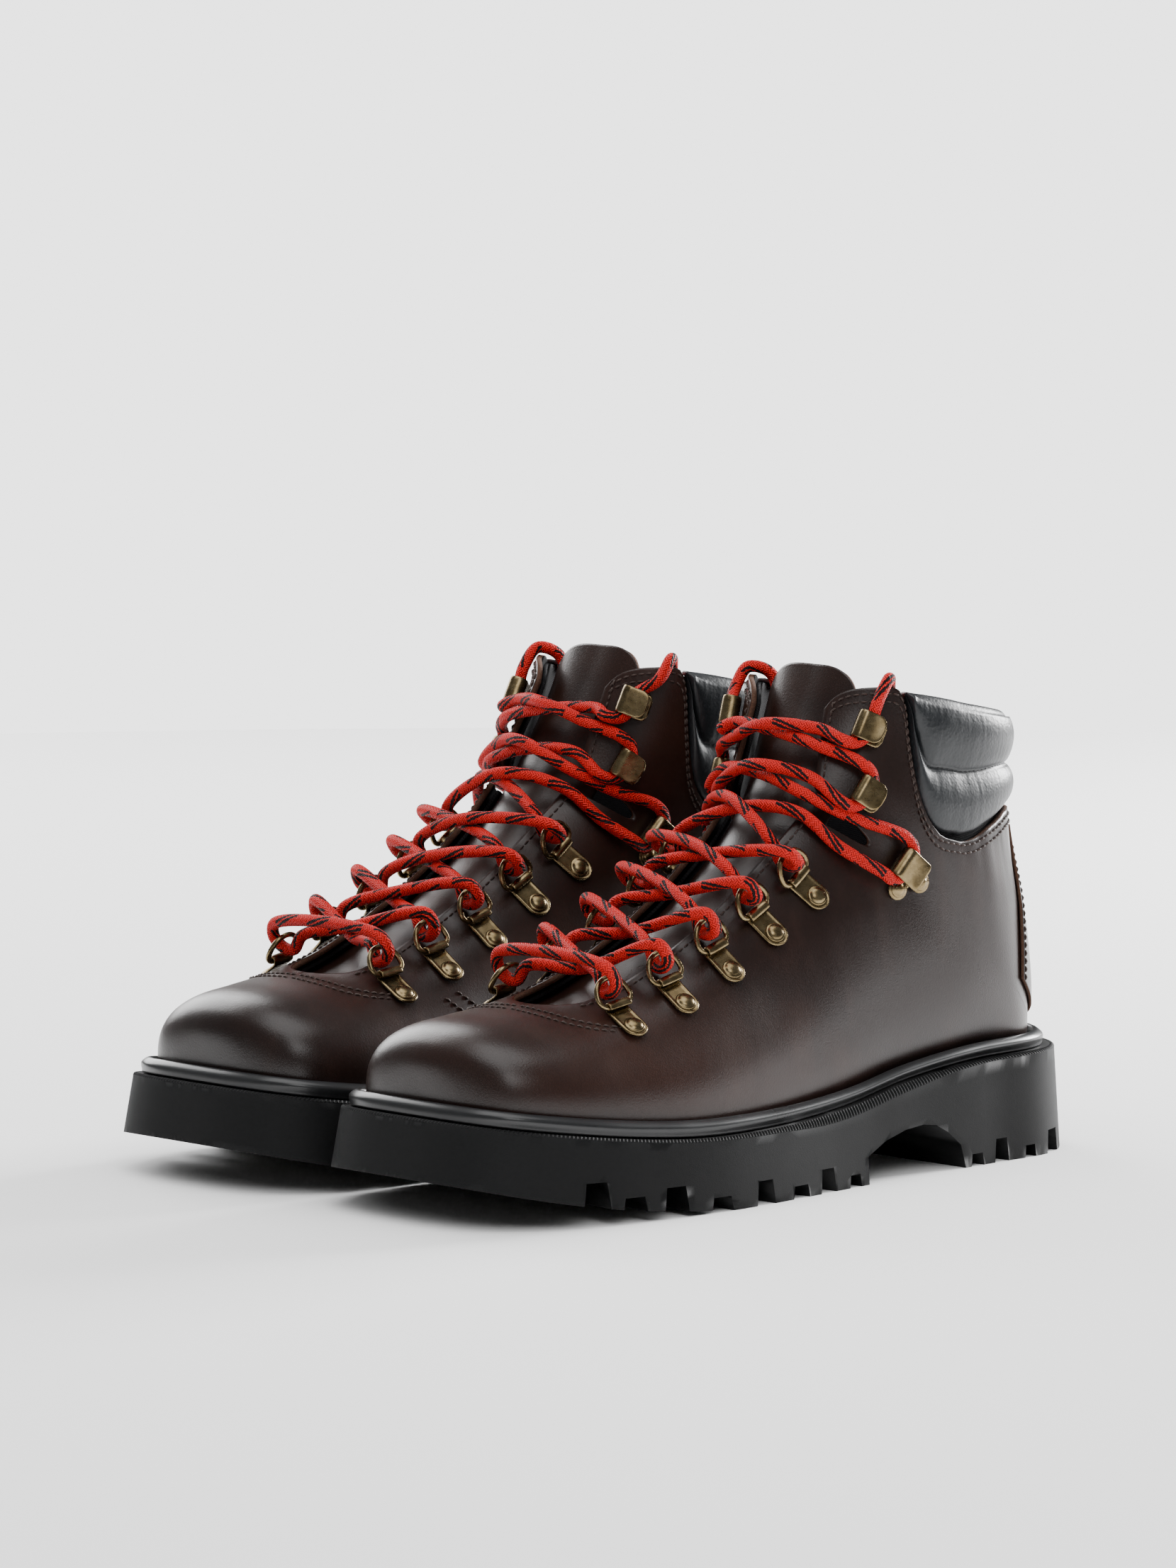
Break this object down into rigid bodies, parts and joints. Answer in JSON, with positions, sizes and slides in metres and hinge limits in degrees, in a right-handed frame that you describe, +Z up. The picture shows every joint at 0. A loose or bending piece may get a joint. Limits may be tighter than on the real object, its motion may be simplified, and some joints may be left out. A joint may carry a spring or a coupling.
{
  "type": "hiking boots",
  "caption": "Pair of mid-height laced leather hiking boots: lugged rubber soles, storm welts, padded collars, riveted D-rings, lock and speed hooks, round laces.",
  "frame": {"origin": "on the floor, midway between the two boots and half way along their soles", "axes": "+Z up, toes towards -Y, the left boot at +X and the right boot at -X"},
  "size_m": [0.2368, 0.306, 0.1799],
  "materials": {
    "rubber": "matte black moulded rubber",
    "welt_rubber": "glossy black rubber bead",
    "steel": "plain spring steel",
    "board": "pressed leather board",
    "foam": "cloth-topped foam, dark grey",
    "brown_leather": "waxed pull-up leather, semi-gloss, dark brown, darker at the toe",
    "lining_fabric": "black woven lining",
    "black_leather": "soft padded leather, satin black",
    "lace_braid": "round braided red lace with black flecks",
    "antique_brass": "antique brass plating, brushed and worn"
  },
  "bodies": {
    "left_boot": {"left_outsole": "rubber", "left_storm_welt": "welt_rubber", "left_shank": "steel", "left_insole_board": "board", "left_footbed": "foam", "left_upper": "brown_leather", "left_backstay": "brown_leather", "left_heel_counter": "board", "left_lining": "lining_fabric", "left_collar_pad": "black_leather", "left_tongue": "brown_leather", "left_lace": "lace_braid", "left_lateral_ring_clips": "antique_brass", "left_lateral_lock_hook": "antique_brass", "left_lateral_speed_hook_1": "antique_brass", "left_lateral_speed_hook_2": "antique_brass", "left_medial_ring_clips": "antique_brass", "left_medial_lock_hook": "antique_brass", "left_medial_speed_hook_1": "antique_brass", "left_medial_speed_hook_2": "antique_brass"},
    "right_boot": {"right_outsole": "rubber", "right_storm_welt": "welt_rubber", "right_shank": "steel", "right_insole_board": "board", "right_footbed": "foam", "right_upper": "brown_leather", "right_backstay": "brown_leather", "right_heel_counter": "board", "right_lining": "lining_fabric", "right_collar_pad": "black_leather", "right_tongue": "brown_leather", "right_lace": "lace_braid", "right_lateral_ring_clips": "antique_brass", "right_lateral_lock_hook": "antique_brass", "right_lateral_speed_hook_1": "antique_brass", "right_lateral_speed_hook_2": "antique_brass", "right_medial_ring_clips": "antique_brass", "right_medial_lock_hook": "antique_brass", "right_medial_speed_hook_1": "antique_brass", "right_medial_speed_hook_2": "antique_brass"},
    "left_lateral_d_ring_1": {"left_lateral_d_ring_1": "antique_brass"},
    "right_lateral_d_ring_1": {"right_lateral_d_ring_1": "antique_brass"},
    "left_lateral_d_ring_2": {"left_lateral_d_ring_2": "antique_brass"},
    "right_lateral_d_ring_2": {"right_lateral_d_ring_2": "antique_brass"},
    "left_lateral_d_ring_3": {"left_lateral_d_ring_3": "antique_brass"},
    "right_lateral_d_ring_3": {"right_lateral_d_ring_3": "antique_brass"},
    "left_lateral_d_ring_4": {"left_lateral_d_ring_4": "antique_brass"},
    "right_lateral_d_ring_4": {"right_lateral_d_ring_4": "antique_brass"},
    "left_lateral_d_ring_5": {"left_lateral_d_ring_5": "antique_brass"},
    "right_lateral_d_ring_5": {"right_lateral_d_ring_5": "antique_brass"},
    "left_medial_d_ring_1": {"left_medial_d_ring_1": "antique_brass"},
    "right_medial_d_ring_1": {"right_medial_d_ring_1": "antique_brass"},
    "left_medial_d_ring_2": {"left_medial_d_ring_2": "antique_brass"},
    "right_medial_d_ring_2": {"right_medial_d_ring_2": "antique_brass"},
    "left_medial_d_ring_3": {"left_medial_d_ring_3": "antique_brass"},
    "right_medial_d_ring_3": {"right_medial_d_ring_3": "antique_brass"},
    "left_medial_d_ring_4": {"left_medial_d_ring_4": "antique_brass"},
    "right_medial_d_ring_4": {"right_medial_d_ring_4": "antique_brass"},
    "left_medial_d_ring_5": {"left_medial_d_ring_5": "antique_brass"},
    "right_medial_d_ring_5": {"right_medial_d_ring_5": "antique_brass"}
  },
  "joints": [
    {"name": "left_lateral_d_ring_1_swing", "type": "hinge", "parent": "left_boot", "child": "left_lateral_d_ring_1", "pos_m": [0.08952, -0.07685, 0.07111], "axis": [0.0572, 0.9824, 0.1776], "range_deg": [-7, 7], "deforming": ["left_lace"]},
    {"name": "left_lateral_d_ring_2_swing", "type": "hinge", "parent": "left_boot", "child": "left_lateral_d_ring_2", "pos_m": [0.0909, -0.05379, 0.07786], "axis": [0.0495, 0.9657, 0.2548], "range_deg": [-7, 7], "deforming": ["left_lace"]},
    {"name": "left_lateral_d_ring_3_swing", "type": "hinge", "parent": "left_boot", "child": "left_lateral_d_ring_3", "pos_m": [0.09075, -0.03141, 0.0875], "axis": [-0.006, 0.9469, 0.3216], "range_deg": [-7, 7], "deforming": ["left_lace"]},
    {"name": "left_lateral_d_ring_4_swing", "type": "hinge", "parent": "left_boot", "child": "left_lateral_d_ring_4", "pos_m": [0.09049, -0.01096, 0.0985], "axis": [0.0063, 0.8708, 0.4916], "range_deg": [-7, 7], "deforming": ["left_lace"]},
    {"name": "left_lateral_d_ring_5_swing", "type": "hinge", "parent": "left_boot", "child": "left_lateral_d_ring_5", "pos_m": [0.09196, 0.00769, 0.10952], "axis": [-0.0328, 0.7925, 0.609], "range_deg": [-7, 7], "deforming": ["left_lace"]},
    {"name": "left_medial_d_ring_1_swing", "type": "hinge", "parent": "left_boot", "child": "left_medial_d_ring_1", "pos_m": [0.03001, -0.07661, 0.07114], "axis": [0.0156, -0.9936, -0.1116], "range_deg": [-7, 7], "deforming": ["left_lace"]},
    {"name": "left_medial_d_ring_2_swing", "type": "hinge", "parent": "left_boot", "child": "left_medial_d_ring_2", "pos_m": [0.03116, -0.05361, 0.07791], "axis": [0.013, -0.9776, -0.2103], "range_deg": [-7, 7], "deforming": ["left_lace"]},
    {"name": "left_medial_d_ring_3_swing", "type": "hinge", "parent": "left_boot", "child": "left_medial_d_ring_3", "pos_m": [0.0324, -0.03142, 0.0875], "axis": [-0.0044, -0.9463, -0.3231], "range_deg": [-7, 7], "deforming": ["left_lace"]},
    {"name": "left_medial_d_ring_4_swing", "type": "hinge", "parent": "left_boot", "child": "left_medial_d_ring_4", "pos_m": [0.03251, -0.01096, 0.0985], "axis": [0.0063, -0.8708, -0.4916], "range_deg": [-7, 7], "deforming": ["left_lace"]},
    {"name": "left_medial_d_ring_5_swing", "type": "hinge", "parent": "left_boot", "child": "left_medial_d_ring_5", "pos_m": [0.03108, 0.00771, 0.10953], "axis": [-0.0389, -0.7947, -0.6058], "range_deg": [-7, 7], "deforming": ["left_lace"]},
    {"name": "right_lateral_d_ring_1_swing", "type": "hinge", "parent": "right_boot", "child": "right_lateral_d_ring_1", "pos_m": [-0.08952, -0.07685, 0.07111], "axis": [0.0572, -0.9824, -0.1776], "range_deg": [-7, 7], "deforming": ["right_lace"]},
    {"name": "right_lateral_d_ring_2_swing", "type": "hinge", "parent": "right_boot", "child": "right_lateral_d_ring_2", "pos_m": [-0.0909, -0.05379, 0.07786], "axis": [0.0495, -0.9657, -0.2548], "range_deg": [-7, 7], "deforming": ["right_lace"]},
    {"name": "right_lateral_d_ring_3_swing", "type": "hinge", "parent": "right_boot", "child": "right_lateral_d_ring_3", "pos_m": [-0.09075, -0.03141, 0.0875], "axis": [-0.006, -0.9469, -0.3216], "range_deg": [-7, 7], "deforming": ["right_lace"]},
    {"name": "right_lateral_d_ring_4_swing", "type": "hinge", "parent": "right_boot", "child": "right_lateral_d_ring_4", "pos_m": [-0.09049, -0.01096, 0.0985], "axis": [0.0063, -0.8708, -0.4916], "range_deg": [-7, 7], "deforming": ["right_lace"]},
    {"name": "right_lateral_d_ring_5_swing", "type": "hinge", "parent": "right_boot", "child": "right_lateral_d_ring_5", "pos_m": [-0.09196, 0.00769, 0.10952], "axis": [-0.0328, -0.7925, -0.609], "range_deg": [-7, 7], "deforming": ["right_lace"]},
    {"name": "right_medial_d_ring_1_swing", "type": "hinge", "parent": "right_boot", "child": "right_medial_d_ring_1", "pos_m": [-0.03001, -0.07661, 0.07114], "axis": [0.0156, 0.9936, 0.1116], "range_deg": [-7, 7], "deforming": ["right_lace"]},
    {"name": "right_medial_d_ring_2_swing", "type": "hinge", "parent": "right_boot", "child": "right_medial_d_ring_2", "pos_m": [-0.03116, -0.05361, 0.07791], "axis": [0.013, 0.9776, 0.2103], "range_deg": [-7, 7], "deforming": ["right_lace"]},
    {"name": "right_medial_d_ring_3_swing", "type": "hinge", "parent": "right_boot", "child": "right_medial_d_ring_3", "pos_m": [-0.0324, -0.03142, 0.0875], "axis": [-0.0044, 0.9463, 0.3231], "range_deg": [-7, 7], "deforming": ["right_lace"]},
    {"name": "right_medial_d_ring_4_swing", "type": "hinge", "parent": "right_boot", "child": "right_medial_d_ring_4", "pos_m": [-0.03251, -0.01096, 0.0985], "axis": [0.0063, 0.8708, 0.4916], "range_deg": [-7, 7], "deforming": ["right_lace"]},
    {"name": "right_medial_d_ring_5_swing", "type": "hinge", "parent": "right_boot", "child": "right_medial_d_ring_5", "pos_m": [-0.03108, 0.00771, 0.10953], "axis": [-0.0389, 0.7947, 0.6058], "range_deg": [-7, 7], "deforming": ["right_lace"]},
    {"name": "right_boot_lift", "type": "slide", "parent": "left_boot", "child": "right_boot", "axis": [0, 0, 1], "range_m": [0, 0.25]}
  ]
}
